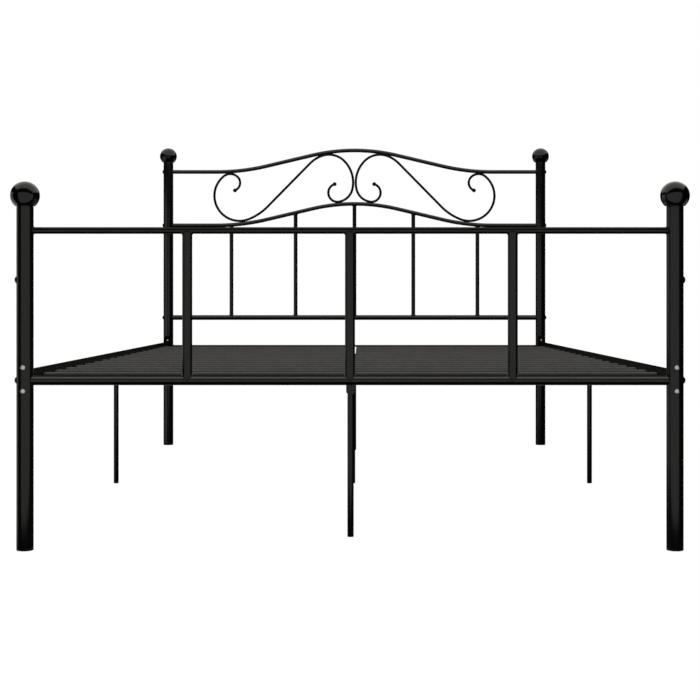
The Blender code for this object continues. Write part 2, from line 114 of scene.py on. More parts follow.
LAST_SLAT = 8
FIRST_SLAT = {"foot": 1, "head": 0}
SLAT_PITCH = 0.1082
SLAT_WIDTH = 0.034
SLAT_HEIGHT = 0.0145
SLAT_WALL = 0.001
SLAT_INNER_END = 0.0065
SLAT_OUTER_END = 0.611
INNER_RAIL_WIDTH = 0.025
INNER_RAIL_HEIGHT = 0.008
INNER_RAIL_EDGE = 0.007
INNER_RAIL_WALL = 0.001
INNER_RAIL_CORNER = 0.0015
INNER_RAIL_START = {"foot": 0.0215, "head": -0.0185}
PANEL_GAP = 0.0015      # half the gap at mid-length

ANGLE_WALL = 0.0025     # steel angle of the side rails
ANGLE_TOP = 0.3415
ANGLE_FOOT = 0.312
ANGLE_HEEL_RADIUS = 0.0022
ANGLE_TOE_RADIUS = 0.0010
ANGLE_ROOT_RADIUS = 0.0012
ANGLE_CORNER = 0.0006
PLATE_THICKNESS = 0.003
PLATE_WIDTH = 0.021
PLATE_CORNER = 0.003

LEG_RADIUS = 0.00635
LEG_WALL = 0.0012
LEG_PLATE_THICKNESS = 0.0022
LEG_PLATE_CORNER = 0.004
LEG_PLUG_FLANGE = 0.0024
LEG_PLUG_EDGE = 0.0008
LEG_PLUG_TOP = 0.012
# Each leg's x and y, the middle of its plate in x, and half the plate's size in x and y
LEGS = {
    "centre_leg_foot": (0.0, -0.862, 0.0, 0.030, 0.015),
    "centre_leg_middle": (0.0, 0.0, 0.0, 0.030, 0.030),
    "centre_leg_head": (0.0, 0.853, 0.0, 0.030, 0.015),
    "middle_leg_left": (-0.615, 0.0, -0.604, 0.018, 0.030),
    "middle_leg_right": (0.615, 0.0, 0.604, 0.018, 0.030),
}
TAB_HALF_WIDTH = 0.0088
TAB_THICKNESS = 0.0025
TAB_DROP = 0.0190       # below the plate
TAB_CHAMFER = 0.0040
TAB_OVERLAP = 0.0008    # how far the tab reaches up into its plate
TAB_GAP = 0.0001        # between the tab and the leg behind it
TAB_EDGE = 0.0003
TAB_CORNER = 0.001

# Bolt heads: radius, height, rise of the crown, half the socket's width across flats, and its depth
RAIL_BOLT = (0.0045, 0.004, 0.0008, 0.0019, 0.0022)
DOME_BOLT = (0.0065, 0.003, 0.0024, 0.0020, 0.0018)
BOLT_RIM = 0.0004
SHANK_RADIUS = 0.003
SHANK_CHAMFER = 0.0006


# ---------------------------------------------------------------- shapes

class Shape:
    """The points and faces of one piece. Rings run anticlockwise seen from where they are heading."""

    def __init__(self):
        self.points = []
        self.faces = []

    def ring(self, points):
        first = len(self.points)
        self.points += [tuple(p) for p in points]
        return list(range(first, len(self.points)))

    def join(self, start, end):
        """Quads from one ring to the next."""
        for i in range(len(start)):
            k = (i + 1) % len(start)
            self.faces.append((start[i], start[k], end[k], end[i]))

    def lid(self, ring, facing_on):
        """Closes a ring with triangles about its middle."""
        middle = sum((Vector(self.points[i]) for i in ring), Vector()) / len(ring)
        centre = self.ring([middle])[0]
        for i in range(len(ring)):
            k = (i + 1) % len(ring)
            pair = (ring[i], ring[k]) if facing_on else (ring[k], ring[i])
            self.faces.append((*pair, centre))

    def flat_lid(self, ring, facing_on):
        """Closes a flat ring of any outline with one face."""
        self.faces.append(tuple(ring if facing_on else reversed(ring)))

    def flip(self):
        """Turns every face over, for a shape that was placed as its mirror image."""
        self.faces = [tuple(reversed(face)) for face in self.faces]

    def loft(self, rings, closed=False):
        """Joins rings in order, and the last to the first if closed."""
        made = [self.ring(r) for r in rings]
        for start, end in zip(made, made[1:]):
            self.join(start, end)
        if closed:
            self.join(made[-1], made[0])
        return made


UPRIGHTS = bpy.data.collections.new("uprights")       # foot posts, finials, caps, bolts, thin uprights
HEAD_POSTS = bpy.data.collections.new("head_posts")   # the tubes of the head posts
HEAD_RAILS = bpy.data.collections.new("head_rails")   # the headboard's rails
SCROLLS = bpy.data.collections.new("scrolls")         # the scrolls of the headboard
TOP_RAIL = bpy.data.collections.new("top_rail")       # the footboard's top rail
LOW_RAIL = bpy.data.collections.new("low_rail")       # the footboard's lower rail
DECK = bpy.data.collections.new("deck")               # slats and side rails


def make_piece(name, shape, look, slot, group, *nodes):
    """Turns a shape into a piece that stands for CAD nodes. The group says which lights reach it."""
    mesh = bpy.data.meshes.new(name)
    mesh.from_pydata(shape.points, [], shape.faces)
    mesh.validate()
    mesh.shade_smooth()
    mesh.set_sharp_from_angle(angle=SHARP_ANGLE)
    mesh.materials.append(look)
    piece = bpy.data.objects.new(name, mesh)
    bpy.context.scene.collection.objects.link(piece)
    group.objects.link(piece)
    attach(piece, "root")
    if nodes:
        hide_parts(*nodes)


def node_middle(node):
    low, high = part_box(node)
    return (low + high) / 2


def circle(centre, u, v, radius, steps, hexagon=False):
    """Points about a centre, from u towards v. A hexagon's radius is the distance to its flats."""
    points = []
    for i in range(steps):
        turn = 2 * pi * i / steps
        reach = radius / cos((turn % (pi / 3)) - pi / 6) if hexagon else radius
        points.append(centre + (u * cos(turn) + v * sin(turn)) * reach)
    return points


def fillet(corner_r, corner_z, radius, start, end, steps):
    """Profile points of a rounded edge: an arc about (corner_r, corner_z), angles in degrees."""
    return [
        (corner_r + radius * cos(radians(start + (end - start) * i / steps)),
         corner_z + radius * sin(radians(start + (end - start) * i / steps)))
        for i in range(steps + 1)
    ]


def straight_side(radius, low_z, high_z):
    """Profile points up a straight side, with rings near both ends so that its shading stays straight."""
    hold = min(0.0015, (high_z - low_z) / 8)
    stations = (low_z, low_z + hold, low_z + 2 * hold, high_z - 2 * hold, high_z - hold, high_z)
    return [(radius, z) for z in stations]


def turn_profile(shape, base, axis, profile, steps, hexagon_from=None):
    """Turns (radius, height) points about an axis. A radius of zero at either end closes the shape."""
    u = X if abs(axis.dot(X)) < 0.5 else Y
    v = axis.cross(u)
    rings = []
    for i, (radius, height) in enumerate(profile):
        if radius > 0:
            hexagon = hexagon_from is not None and i >= hexagon_from
            rings.append(shape.ring(circle(base + axis * height, u, v, radius, steps, hexagon)))
    for start, end in zip(rings, rings[1:]):
        shape.join(start, end)
    if profile[0][0] <= 0:
        shape.lid(rings[0], False)
    if profile[-1][0] <= 0:
        shape.lid(rings[-1], True)
    return rings


def distance_to(point, heading, bar):
    """From a point on or near a round bar's axis back to the bar's near side, never forwards."""
    start, axis, radius = bar
    across = point - start
    across = across - axis * across.dot(axis)
    along = heading - axis * heading.dot(axis)
    a = along.length_squared
    b = across.dot(along)
    c = across.length_squared - (radius - SINK) ** 2
    root = b * b - a * c
    return 0 if root < 0 else min(0, (-b - sqrt(root)) / a)


def tangents(path):
    """Unit directions along a path, averaged at each inner point."""
    steps = [(b - a).normalized() for a, b in zip(path, path[1:])]
    inner = [(a + b).normalized() for a, b in zip(steps, steps[1:])]
    return [steps[0], *inner, steps[-1]]


def sweep(shape, path, radius, steps, start_bar=None, end_bar=None):
    """A round tube along a path that never runs along Y. Each end is cut to the bar that it meets.

    Returns for each end its rim points, the directions out from the tube there, and the way on."""
    ways = tangents(path)
    rings = []
    ends = []
    last = len(path) - 1
    for i, (point, way) in enumerate(zip(path, ways)):
        up = way.cross(Y)
        points = circle(point, Y, up, radius, steps)
        for bar, here, heading in ((start_bar, 0, -way), (end_bar, last, way)):
            if i == here and bar is not None:
                points = [p + heading * distance_to(p, heading, bar) for p in points]
        rings.append(points)
        if i in (0, last):
            outwards = circle(Vector(), Y, up, 1, steps)
            ends.append((points, outwards, -way if i == 0 else way))
    made = shape.loft(rings)
    shape.lid(made[0], False)
    shape.lid(made[-1], True)
    return ends


def weld(shape, end, width):
    """A bead round the rim of a tube's end, with the ripples of a weld pool that moved on."""
    rim, outwards, way = end
    count = len(rim) * 2
    sections = []
    for i in range(count):
        k = (i // 2) % len(rim)
        n = (k + 1) % len(rim)
        half = 0.5 * (i % 2)
        point = rim[k].lerp(rim[n], half)
        out = outwards[k].lerp(outwards[n], half).normalized()
        size = width * (1 + 0.10 * sin(2 * pi * WELD_RIPPLES * i / count))
        centre = point - way * (SINK + 0.15 * width)
        sections.append(circle(centre, out, way, size, 8))
    shape.loft(sections, closed=True)


def arc_chain(start, heading, run, arcs, step):
    """Points of a straight run and then of arcs (radius, degrees), each tangent to the last."""
    x, z = start
    path = [(x, z), (x + run * cos(heading), z + run * sin(heading))]
    for radius, turn in arcs:
        x, z = path[-1]
        side = copysign(1, turn)
        centre_x = x - side * radius * sin(heading)
        centre_z = z + side * radius * cos(heading)
        count = max(1, round(abs(turn) / step))
        for i in range(1, count + 1):
            turned = heading + radians(turn) * i / count
            path.append((centre_x + side * radius * sin(turned), centre_z - side * radius * cos(turned)))
        heading += radians(turn)
    return path


def crown_path(half_span, end_z, y):
    """The headboard's crown: an arch, a straight slope on each side, and a reverse curve at its foot."""
    slope = degrees(CROWN_SLOPE)
    half = arc_chain((0, end_z + CROWN_RISE), 0, 0, ((CROWN_RADIUS, -slope),), CROWN_STEP)[1:]
    half += arc_chain(half[-1], -CROWN_SLOPE, CROWN_STRAIGHT, ((CROWN_FOOT_RADIUS, slope),), CROWN_STEP)[1:]
    half.append((half_span, end_z))
    whole = [(-x, z) for x, z in reversed(half)] + half[1:]
    return [Vector((x, y, z)) for x, z in whole]


def height_at(path, x):
    """Point and direction on a path, where it passes x."""
    for a, b in zip(path, path[1:]):
        if a.x <= x < b.x:
            return a.lerp(b, (x - a.x) / (b.x - a.x)), (b - a).normalized()
    return path[-1], X


def rounded_outline(corners, steps=4):
    """A flat outline of (u, v, radius) corners, anticlockwise, each rounded by an arc."""
    outline = []
    count = len(corners)
    for i, (u, v, radius) in enumerate(corners):
        here = Vector((u, v))
        back = (Vector(corners[i - 1][:2]) - here).normalized()
        on = (Vector(corners[(i + 1) % count][:2]) - here).normalized()
        half = back.angle(on) / 2
        middle = here + (back + on).normalized() * (radius / sin(half))
        start = here + back * (radius / tan(half)) - middle
        end = here + on * (radius / tan(half)) - middle
        first = atan2(start.y, start.x)
        turn = (atan2(end.y, end.x) - first + pi) % (2 * pi) - pi
        for k in range(steps + 1):
            angle = first + turn * k / steps
            outline.append(middle + Vector((cos(angle), sin(angle))) * radius)
    return outline


def rectangle(left, right, low, high, radius):
    """The corners of a rectangle, anticlockwise from its lower left, for rounded_outline."""
    return [(left, low, radius), (right, low, radius), (right, high, radius), (left, high, radius)]


def inset(outline, amount):
    """The outline moved inwards by an amount, corner by corner."""
    moved = []
    count = len(outline)
    for i, point in enumerate(outline):
        back = (point - outline[i - 1]).normalized()
        on = (outline[(i + 1) % count] - point).normalized()
        along = (back + on).normalized()
        inward = Vector((-along.y, along.x))
        moved.append(point + inward * amount / max(0.5, along.dot(on)))
    return moved


def prism(shape, outline, place, low, high, edge):
    """An outline carried from low to high along its normal, with its rims rounded off by edge."""
    small = inset(outline, edge)
    levels = ((small, low), (outline, low + edge), (outline, high - edge), (small, high))
    rings = [shape.ring([place(p.x, p.y, level) for p in line]) for line, level in levels]
    for start, end in zip(rings, rings[1:]):
        shape.join(start, end)
    shape.flat_lid(rings[0], False)
    shape.flat_lid(rings[-1], True)


# ---------------------------------------------------------------- materials

class Look:
    """A Principled material whose colour, roughness and bump come from nodes in the object's own space."""

    def __init__(self, name, **constants):
        self.material = bpy.data.materials.new(name)
        self.material.use_nodes = True
        self.tree = self.material.node_tree
        self.shader = self.tree.nodes["Principled BSDF"]
        for socket, value in constants.items():
            self.shader.inputs[socket.replace("_", " ")].default_value = value
        self.place = self.node("ShaderNodeTexCoord").outputs["Object"]

    def node(self, kind, **settings):
        made = self.tree.nodes.new(kind)
        for key, value in settings.items():
            setattr(made, key, value)
        return made

    def link(self, source, target):
        self.tree.links.new(source, target)

    def noise(self, scale, detail=3, roughness=0.5, stretch=(1, 1, 1)):
        mapping = self.node("ShaderNodeMapping")
        mapping.inputs["Scale"].default_value = stretch
        self.link(self.place, mapping.inputs["Vector"])
        made = self.node("ShaderNodeTexNoise")
        made.inputs["Scale"].default_value = scale
        made.inputs["Detail"].default_value = detail
        made.inputs["Roughness"].default_value = roughness
        self.link(mapping.outputs["Vector"], made.inputs["Vector"])
        return made.outputs["Fac"]

    def cells(self, scale):
        """Distance from the middle of each cell of a Voronoi pattern."""
        made = self.node("ShaderNodeTexVoronoi")
        made.inputs["Scale"].default_value = scale
        self.link(self.place, made.inputs["Vector"])
        return made.outputs["Distance"]

    def between(self, factor, low, high):
        """A value that goes from low to high over the middle of a noise's range."""
        made = self.node("ShaderNodeMapRange")
        self.link(factor, made.inputs["Value"])
        for socket, value in (("From Min", 0.3), ("From Max", 0.7), ("To Min", low), ("To Max", high)):
            made.inputs[socket].default_value = value
        return made.outputs["Result"]

    def colours(self, factor, low, high):
        """A colour ramp between two (position, (r, g, b)) stops."""
        made = self.node("ShaderNodeValToRGB")
        elements = made.color_ramp.elements
        for element, (position, colour) in zip(elements, (low, high)):
            element.position = position
            element.color = (*colour, 1)
        self.link(factor, made.inputs["Fac"])
        return made.outputs["Color"]

    def base(self, source):
        self.link(source, self.shader.inputs["Base Color"])

    def rough(self, source):
        self.link(source, self.shader.inputs["Roughness"])

    def bump(self, *layers):
        """Bumps on top of each other: (height, distance in metres, strength)."""
        below = None
        for height, distance, strength in layers:
            made = self.node("ShaderNodeBump")
            made.inputs["Distance"].default_value = distance
            made.inputs["Strength"].default_value = strength
            self.link(height, made.inputs["Height"])
            if below is not None:
                self.link(below, made.inputs["Normal"])
            below = made.outputs["Normal"]
        self.link(below, self.shader.inputs["Normal"])


# The two blacks that a powder coat wanders between, with their places on the colour ramp
COAT_BLACKS = ((0.35, (0.0034, 0.0034, 0.0034)), (0.65, (0.0054, 0.0053, 0.0051)))


def powder_coat():
    """Satin black powder coat: a fine orange peel, and a sheen that varies a little along the tubes."""
    look = Look("powder_coat_black", IOR=1.5)
    look.base(look.colours(look.noise(9, 4), *COAT_BLACKS))
    look.rough(look.between(look.noise(35, 4), 0.16, 0.22))
    look.bump((look.noise(160, 2), 0.0004, 0.03), (look.noise(800, 3), 0.0002, 0.05))
    return look.material


def angle_coat():
    """Black powder coat of the steel angles: a duller sheen than on the tubes, with mill marks along it."""
    look = Look("powder_coat_angle", IOR=1.3)
    look.base(look.colours(look.noise(12, 4), *COAT_BLACKS))
    look.rough(look.between(look.noise(50, 4), 0.30, 0.40))
    look.bump((look.noise(220, 3, 0.5, (1, 0.15, 1)), 0.0004, 0.06), (look.noise(900, 3), 0.0002, 0.08))
    return look.material


def slat_coat():
    """Matt black powder coat of the slats, warmer and rougher than the tubes' coat."""
    look = Look("slat_coat_matt_black", IOR=1.45)
    blacks = ((0.3, (0.054, 0.052, 0.049)), (0.7, (0.066, 0.064, 0.061)))
    look.base(look.colours(look.noise(14, 5, 0.6), *blacks))
    look.rough(look.between(look.noise(60, 4), 0.50, 0.62))
    look.bump((look.noise(240, 3), 0.0005, 0.08), (look.noise(1300, 2), 0.0002, 0.25))
    return look.material


def finial_plastic():
    """Gloss black moulded plastic, with faint flow marks and a few dull patches."""
    look = Look("finial_gloss_black", IOR=1.5)
    blacks = ((0.35, (0.0024, 0.0024, 0.0026)), (0.65, (0.0038, 0.0037, 0.0036)))
    look.base(look.colours(look.noise(30, 3), *blacks))
    look.rough(look.between(look.noise(110, 5, 0.6), 0.09, 0.17))
    look.bump((look.noise(26, 2, 0.4, (1, 1, 0.4)), 0.002, 0.05), (look.noise(900, 2), 0.0001, 0.05))
    return look.material


def cap_plastic():
    """Satin black moulded plastic of the floor caps, with a fine spark-eroded grain."""
    look = Look("cap_satin_black", IOR=1.36)
    blacks = ((0.35, (0.0034, 0.0034, 0.0036)), (0.65, (0.0054, 0.0054, 0.0054)))
    look.base(look.colours(look.noise(40, 4), *blacks))
    look.rough(look.between(look.noise(90, 4), 0.42, 0.56))
    look.bump((look.noise(1500, 3, 0.6), 0.0003, 0.30), (look.cells(700), 0.0002, 0.12))
    return look.material


def zinc_plate():
    """Bright zinc plate: a metal with small crystal patches and fine turning marks."""
    look = Look("zinc_plate", Metallic=1.0)
    greys = ((0.3, (0.72, 0.73, 0.74)), (0.7, (0.92, 0.93, 0.94)))
    look.base(look.colours(look.noise(420, 4, 0.6), *greys))
    look.rough(look.between(look.noise(700, 3), 0.26, 0.42))
    look.bump((look.cells(900), 0.0002, 0.15), (look.noise(2600, 2), 0.0001, 0.2))
    return look.material


def bolt_black():
    """Black oxide on the domed bolts: dark, a little blue, rubbed on its high spots."""
    look = Look("bolt_black_oxide", IOR=1.5)
    blacks = ((0.35, (0.0075, 0.0077, 0.0085)), (0.7, (0.016, 0.016, 0.017)))
    look.base(look.colours(look.noise(600, 4, 0.6), *blacks))
    look.rough(look.between(look.noise(900, 3), 0.26, 0.40))
    look.bump((look.noise(2200, 3), 0.0001, 0.25))
    return look.material


POWDER = powder_coat()
ANGLE = angle_coat()
SLAT = slat_coat()
FINIAL = finial_plastic()
CAP = cap_plastic()
ZINC = zinc_plate()
BLACK_BOLT = bolt_black()


# ---------------------------------------------------------------- posts, finials and caps

def post_bar(end, side):
    """A post as (point on its axis, its axis, radius)."""
    low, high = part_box(f"{end}_post_{side}")
    return (low + high) / 2, Z, (high.x - low.x) / 2


def add_post(end, side):
    """Round steel tube, open at both ends and plugged by its finial and its cap."""
    node = f"{end}_post_{side}"
    low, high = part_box(node)
    middle, _, radius = post_bar(end, side)
    base = Vector((middle.x, middle.y, 0))
    inner = radius - POST_WALL
    shape = Shape()
    profile = [
        *fillet(radius - EDGE, low.z + EDGE, EDGE, -90, 0, 3)[:-1],
        *straight_side(radius, low.z + EDGE, high.z - EDGE),
        *fillet(radius - EDGE, high.z - EDGE, EDGE, 0, 90, 3)[1:],
        (inner, high.z),
        (inner, low.z),
    ]
    rings = turn_profile(shape, base, Z, profile, ROUND_STEPS)
    shape.join(rings[-1], rings[0])
    group = HEAD_POSTS if end == "head" else UPRIGHTS
    make_piece(f"post_{end}_{side}", shape, POWDER, "powder_coat", group, node)


def add_finial(end, side):
    """Ball of gloss plastic on a stem that plugs the post, with a thin collar and a faint parting line."""
    node = f"{end}_finial_{side}"
    low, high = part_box(node)
    _, post_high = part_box(f"{end}_post_{side}")
    post_radius = post_bar(end, side)[2]
    middle = node_middle(node)
    wide = (high.x - low.x) / 2
    seat = post_high.z + PLUG_GAP
    ball_middle = post_high.z + FINIAL_RISE
    tall = high.z - ball_middle
    stem = post_radius - POST_WALL - PLUG_GAP
    base = Vector((middle.x, middle.y, 0))
    profile = [
        (0, low.z),
        (stem - STEM_CHAMFER, low.z),
        (stem, low.z + STEM_CHAMFER),
        (stem, seat),
        (post_radius - COLLAR_EDGE, seat),
        (post_radius + COLLAR_PROUD, seat + COLLAR_EDGE),
        (post_radius + COLLAR_PROUD, seat + COLLAR_HEIGHT),
    ]
    start = degrees(asin((seat + BALL_START - ball_middle) / tall))
    for i in range(FINIAL_STEPS):
        angle = radians(start + (90 - start) * i / FINIAL_STEPS)
        groove = PARTING_DEPTH if i in PARTING_RINGS else 0
        profile.append(((wide - groove) * cos(angle), ball_middle + (tall - groove) * sin(angle)))
    profile.append((0, high.z))
    shape = Shape()
    turn_profile(shape, base, Z, profile, ROUND_STEPS)
    make_piece(f"finial_{end}_{side}", shape, FINIAL, "finial", UPRIGHTS, node)


def add_cap(end, side):
    """Plastic plug in the foot of a post: a flange as wide as the tube, rounded where it stands."""
    node = f"{end}_post_cap_{side}"
    low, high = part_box(node)
    post_low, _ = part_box(f"{end}_post_{side}")
    middle = node_middle(node)
    radius = (high.x - low.x) / 2
    plug = radius - POST_WALL - PLUG_GAP
    flange = post_low.z - PLUG_GAP
    foot = CAP_FOOT_RADIUS
    lip = CAP_LIP_RADIUS
    base = Vector((middle.x, middle.y, 0))
    profile = [
        (0, low.z),
        *fillet(radius - foot, low.z + foot, foot, -90, 0, 6),
        *fillet(radius - lip, flange - lip, lip, 0, 90, 3),
        (plug, flange),
        (plug, high.z - CAP_TIP[1]),
        (plug - CAP_TIP[0], high.z),
        (0, high.z),
    ]
    shape = Shape()
    turn_profile(shape, base, Z, profile, ROUND_STEPS)
    make_piece(f"cap_{end}_{side}", shape, CAP, "cap", UPRIGHTS, node)


# ---------------------------------------------------------------- headboard and footboard

def add_cross_tube(node, end, welded, group, path=None):
    """A tube between two posts, cut to their round sides, welded to them or bolted through them."""
    low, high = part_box(node)
    middle = node_middle(node)
    left = post_bar(end, "left")
    right = post_bar(end, "right")
    if path is None:
        path = [Vector((left[0].x, middle.y, middle.z)), Vector((right[0].x, middle.y, middle.z))]
        radius = (high.z - low.z) / 2
    else:
        radius = (high.y - low.y) / 2
    shape = Shape()
    for joint in sweep(shape, path, radius, TUBE_STEPS, left, right):
        if welded:
            weld(shape, joint, RAIL_WELD)
    make_piece(node + "_tube", shape, POWDER, "powder_coat", group, node)
    return path, radius


def add_upright(node, foot_bar, top_bar, top_z=None):
    """A tube that stands between two rails, with a bead of weld at each end."""
    middle = node_middle(node)
    low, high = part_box(node)
    radius = (high.x - low.x) / 2
    foot = Vector((middle.x, middle.y, foot_bar[0].z))
    head = Vector((middle.x, middle.y, top_bar[0].z if top_z is None else top_z))
    shape = Shape()
    for joint in sweep(shape, [foot, head], radius, TUBE_STEPS, foot_bar, top_bar):
        weld(shape, joint, UPRIGHT_WELD)
    make_piece(node + "_tube", shape, POWDER, "powder_coat", UPRIGHTS, node)


def scroll_line(side, y):
    """The middle of a scroll's wire, from its inner ball to its outer one, or back on the left."""
    inner = arc_chain(SCROLL_ORIGIN, SCROLL_HEADING + pi, INNER_STRAIGHT, INNER_ARCS, SCROLL_STEP)
    outer = arc_chain(SCROLL_ORIGIN, SCROLL_HEADING, OUTER_STRAIGHT, OUTER_ARCS, SCROLL_STEP)
    line = list(reversed(inner)) + outer[1:]
    if side > 0:
        return [Vector((x, y, z)) for x, z in line]
    return [Vector((-x, y, z)) for x, z in reversed(line)]


def add_bead(shape, middle, radius, half_height, rings, steps):
    """A ball about a point, or a flat one, turned about Y."""
    angles = [pi * i / rings for i in range(1, rings)]
    bead = [(radius * sin(a), -half_height * cos(a)) for a in angles]
    turn_profile(shape, middle, Y, [(0, -half_height), *bead, (0, half_height)], steps)


def add_scroll(side_name, side):
    """One S of wire with a small ball on each end, tack-welded where it touches the rails."""
    node = f"scroll_{side_name}"
    y = node_middle(node).y
    line = scroll_line(side, y)
    shape = Shape()
    sweep(shape, line, SCROLL_WIRE, WIRE_STEPS)
    for tip in (line[0], line[-1]):
        add_bead(shape, tip, SCROLL_BALL, SCROLL_BALL, 14, 28)
    for x, z in SCROLL_TACKS:
        spot = Vector((side * x, y, z))
        for face in (-1, 1):
            add_bead(shape, spot + Y * face * TACK_DEPTH, TACK_RADIUS, TACK_HEIGHT, 8, 16)
    make_piece(f"{node}_wire", shape, POWDER, "powder_coat", SCROLLS, node)


def make_headboard():
    post_middle = post_bar("head", "right")[0]
    crowns = {}
    for node in ("headboard_top_rail", "headboard_middle_rail"):
        low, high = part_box(node)
        end_z = low.z + (high.y - low.y) / 2
        path = crown_path(post_middle.x, end_z, post_middle.y)
        crowns[node] = add_cross_tube(node, "head", False, HEAD_RAILS, path)
    lower_path, lower_radius = add_cross_tube("headboard_lower_rail", "head", False, HEAD_RAILS)
    add_cross_tube("head_cross_rail", "head", True, HEAD_RAILS)
    lower = (lower_path[0], X, lower_radius)
    middle_path, middle_radius = crowns["headboard_middle_rail"]
    for i in range(1, 6):
        node = f"headboard_spindle_{i}"
        point, way = height_at(middle_path, node_middle(node).x)
        add_upright(node, lower, (point, way, middle_radius))
    for side_name, side in SIDES:
        add_scroll(side_name, side)


def make_footboard():
    top_path, top_radius = add_cross_tube("footboard_top_rail", "foot", True, TOP_RAIL)
    low_path, low_radius = add_cross_tube("footboard_lower_rail", "foot", False, LOW_RAIL)
    top = (top_path[0], X, top_radius)
    lower = (low_path[0], X, low_radius)
    for name in ("left", "centre", "right"):
        node = f"footboard_bar_{name}"
        add_upright(node, lower, top, top_z=top_path[0].z - top_radius / 2)


# ---------------------------------------------------------------- deck

def add_side_rail(end_name, end, side_name, side):
    """Steel angle with a plate welded on its outer end, for the two bolts through the post."""
    node = f"side_rail_{end_name}_{side_name}"
    low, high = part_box(node)
    outer_x = post_bar(end_name, side_name)[0].x
    plate_face = max(abs(low.y), abs(high.y))
    angle_end = plate_face - PLATE_THICKNESS
    toe = ANGLE_TOP - ANGLE_FOOT
    shape = Shape()

    def at(u, v, level):
        """u is the distance in from the outer face, v the height and level the distance from mid-length."""
        return Vector((outer_x - side * u, end * level, v))

    angle = rounded_outline([
        (0, ANGLE_FOOT, ANGLE_HEEL_RADIUS),
        (toe, ANGLE_FOOT, ANGLE_CORNER),
        (toe, ANGLE_FOOT + ANGLE_WALL, ANGLE_TOE_RADIUS),
        (ANGLE_WALL, ANGLE_FOOT + ANGLE_WALL, ANGLE_ROOT_RADIUS),
        (ANGLE_WALL, ANGLE_TOP, ANGLE_TOE_RADIUS),
        (0, ANGLE_TOP, ANGLE_CORNER),
    ])
    prism(shape, angle, at, PANEL_GAP, angle_end, EDGE)
    half = PLATE_WIDTH / 2
    plate = rounded_outline(rectangle(-half, half, low.z, high.z, PLATE_CORNER))
    prism(shape, plate, at, angle_end, plate_face, EDGE)
    if side * end < 0:
        shape.flip()
    make_piece(f"{node}_angle", shape, ANGLE, "powder_coat", DECK, node)


def oval(half_width, half_height, steps=9):
    """A flat oval with half-round edges, anticlockwise from its lower right."""
    flat = half_width - half_height
    right = [(flat + half_height * cos(a), half_height * sin(a))
             for a in (radians(-90 + 180 * i / steps) for i in range(steps + 1))]
    left = [(-flat + half_height * cos(a), half_height * sin(a))
            for a in (radians(90 + 180 * i / steps) for i in range(steps + 1))]
    return right + left


def open_tube(shape, outline_at, start, end, wall, place):
    """A hollow tube of any outline with rounded rims, open at both ends."""
    lip = TUBE_EDGE
    stations = (
        (0, start + lip), (0, end - lip), (lip, end), (wall - lip / 2, end), (wall, end - lip),
        (wall, start + lip), (wall - lip / 2, start), (lip, start),
    )
    rings = [[place(p[0], p[1], level) for p in outline_at(depth)] for depth, level in stations]
    shape.loft(rings, closed=True)


def add_slat(end_name, end, side_name, side, index, top_z, node):
    """One slat: a hollow flat oval of thin steel, open at both ends."""
    y = end * SLAT_PITCH * index
    z = top_z - SLAT_HEIGHT / 2
    shape = Shape()

    def outline_at(depth):
        return oval(SLAT_WIDTH / 2 - depth, SLAT_HEIGHT / 2 - depth)

    def place(u, v, level):
        return Vector((side * level, y + side * u, z + v))

    open_tube(shape, outline_at, SLAT_INNER_END, SLAT_OUTER_END, SLAT_WALL, place)
    name = f"slat_{end_name}_{side_name}_{index}"
    make_piece(name, shape, SLAT, "slats", DECK, node)


def add_inner_rail(end_name, end, side_name, side, low_z, start, length, node):
    """Flat box tube under the inner ends of the slats."""
    shape = Shape()

    def outline_at(depth):
        half_u = INNER_RAIL_WIDTH / 2 - depth
        half_v = INNER_RAIL_HEIGHT / 2 - depth
        corner = INNER_RAIL_CORNER - depth * 0.9
        return rounded_outline(rectangle(-half_u, half_u, -half_v, half_v, corner), 3)

    def place(u, v, level):
        centre_x = side * (INNER_RAIL_EDGE + INNER_RAIL_WIDTH / 2)
        return Vector((centre_x - end * u, end * level, low_z + INNER_RAIL_HEIGHT / 2 + v))

    open_tube(shape, outline_at, start, length, INNER_RAIL_WALL, place)
    make_piece(f"inner_rail_{end_name}_{side_name}", shape, SLAT, "slats", DECK, node)


def make_deck():
    for end_name, end in ENDS:
        for side_name, side in SIDES:
            add_side_rail(end_name, end, side_name, side)
            node = f"slat_panel_{end_name}_{side_name}"
            low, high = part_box(node)
            for index in range(FIRST_SLAT[end_name], LAST_SLAT + 1):
                add_slat(end_name, end, side_name, side, index, high.z, node)
            start, length = INNER_RAIL_START[end_name], max(abs(low.y), abs(high.y))
            add_inner_rail(end_name, end, side_name, side, low.z, start, length, node)


# ---------------------------------------------------------------- legs

def add_tab(shape, leg_x, leg_y, plate_low):
    """The small plate in front of a centre leg's top, with its lower corners cut off."""
    half = TAB_HALF_WIDTH
    foot = plate_low - TAB_DROP
    top = plate_low + TAB_OVERLAP

    def place(u, v, level):
        return Vector((leg_x + u, leg_y - LEG_RADIUS - TAB_GAP - level, v))

    outline = rounded_outline([
        (-half + TAB_CHAMFER, foot, TAB_CORNER),
        (half - TAB_CHAMFER, foot, TAB_CORNER),
        (half, foot + TAB_CHAMFER, TAB_CORNER),
        (half, top, EDGE),
        (-half, top, EDGE),
        (-half, foot + TAB_CHAMFER, TAB_CORNER),
    ], 3)
    prism(shape, outline, place, 0.0, TAB_THICKNESS, TAB_EDGE)


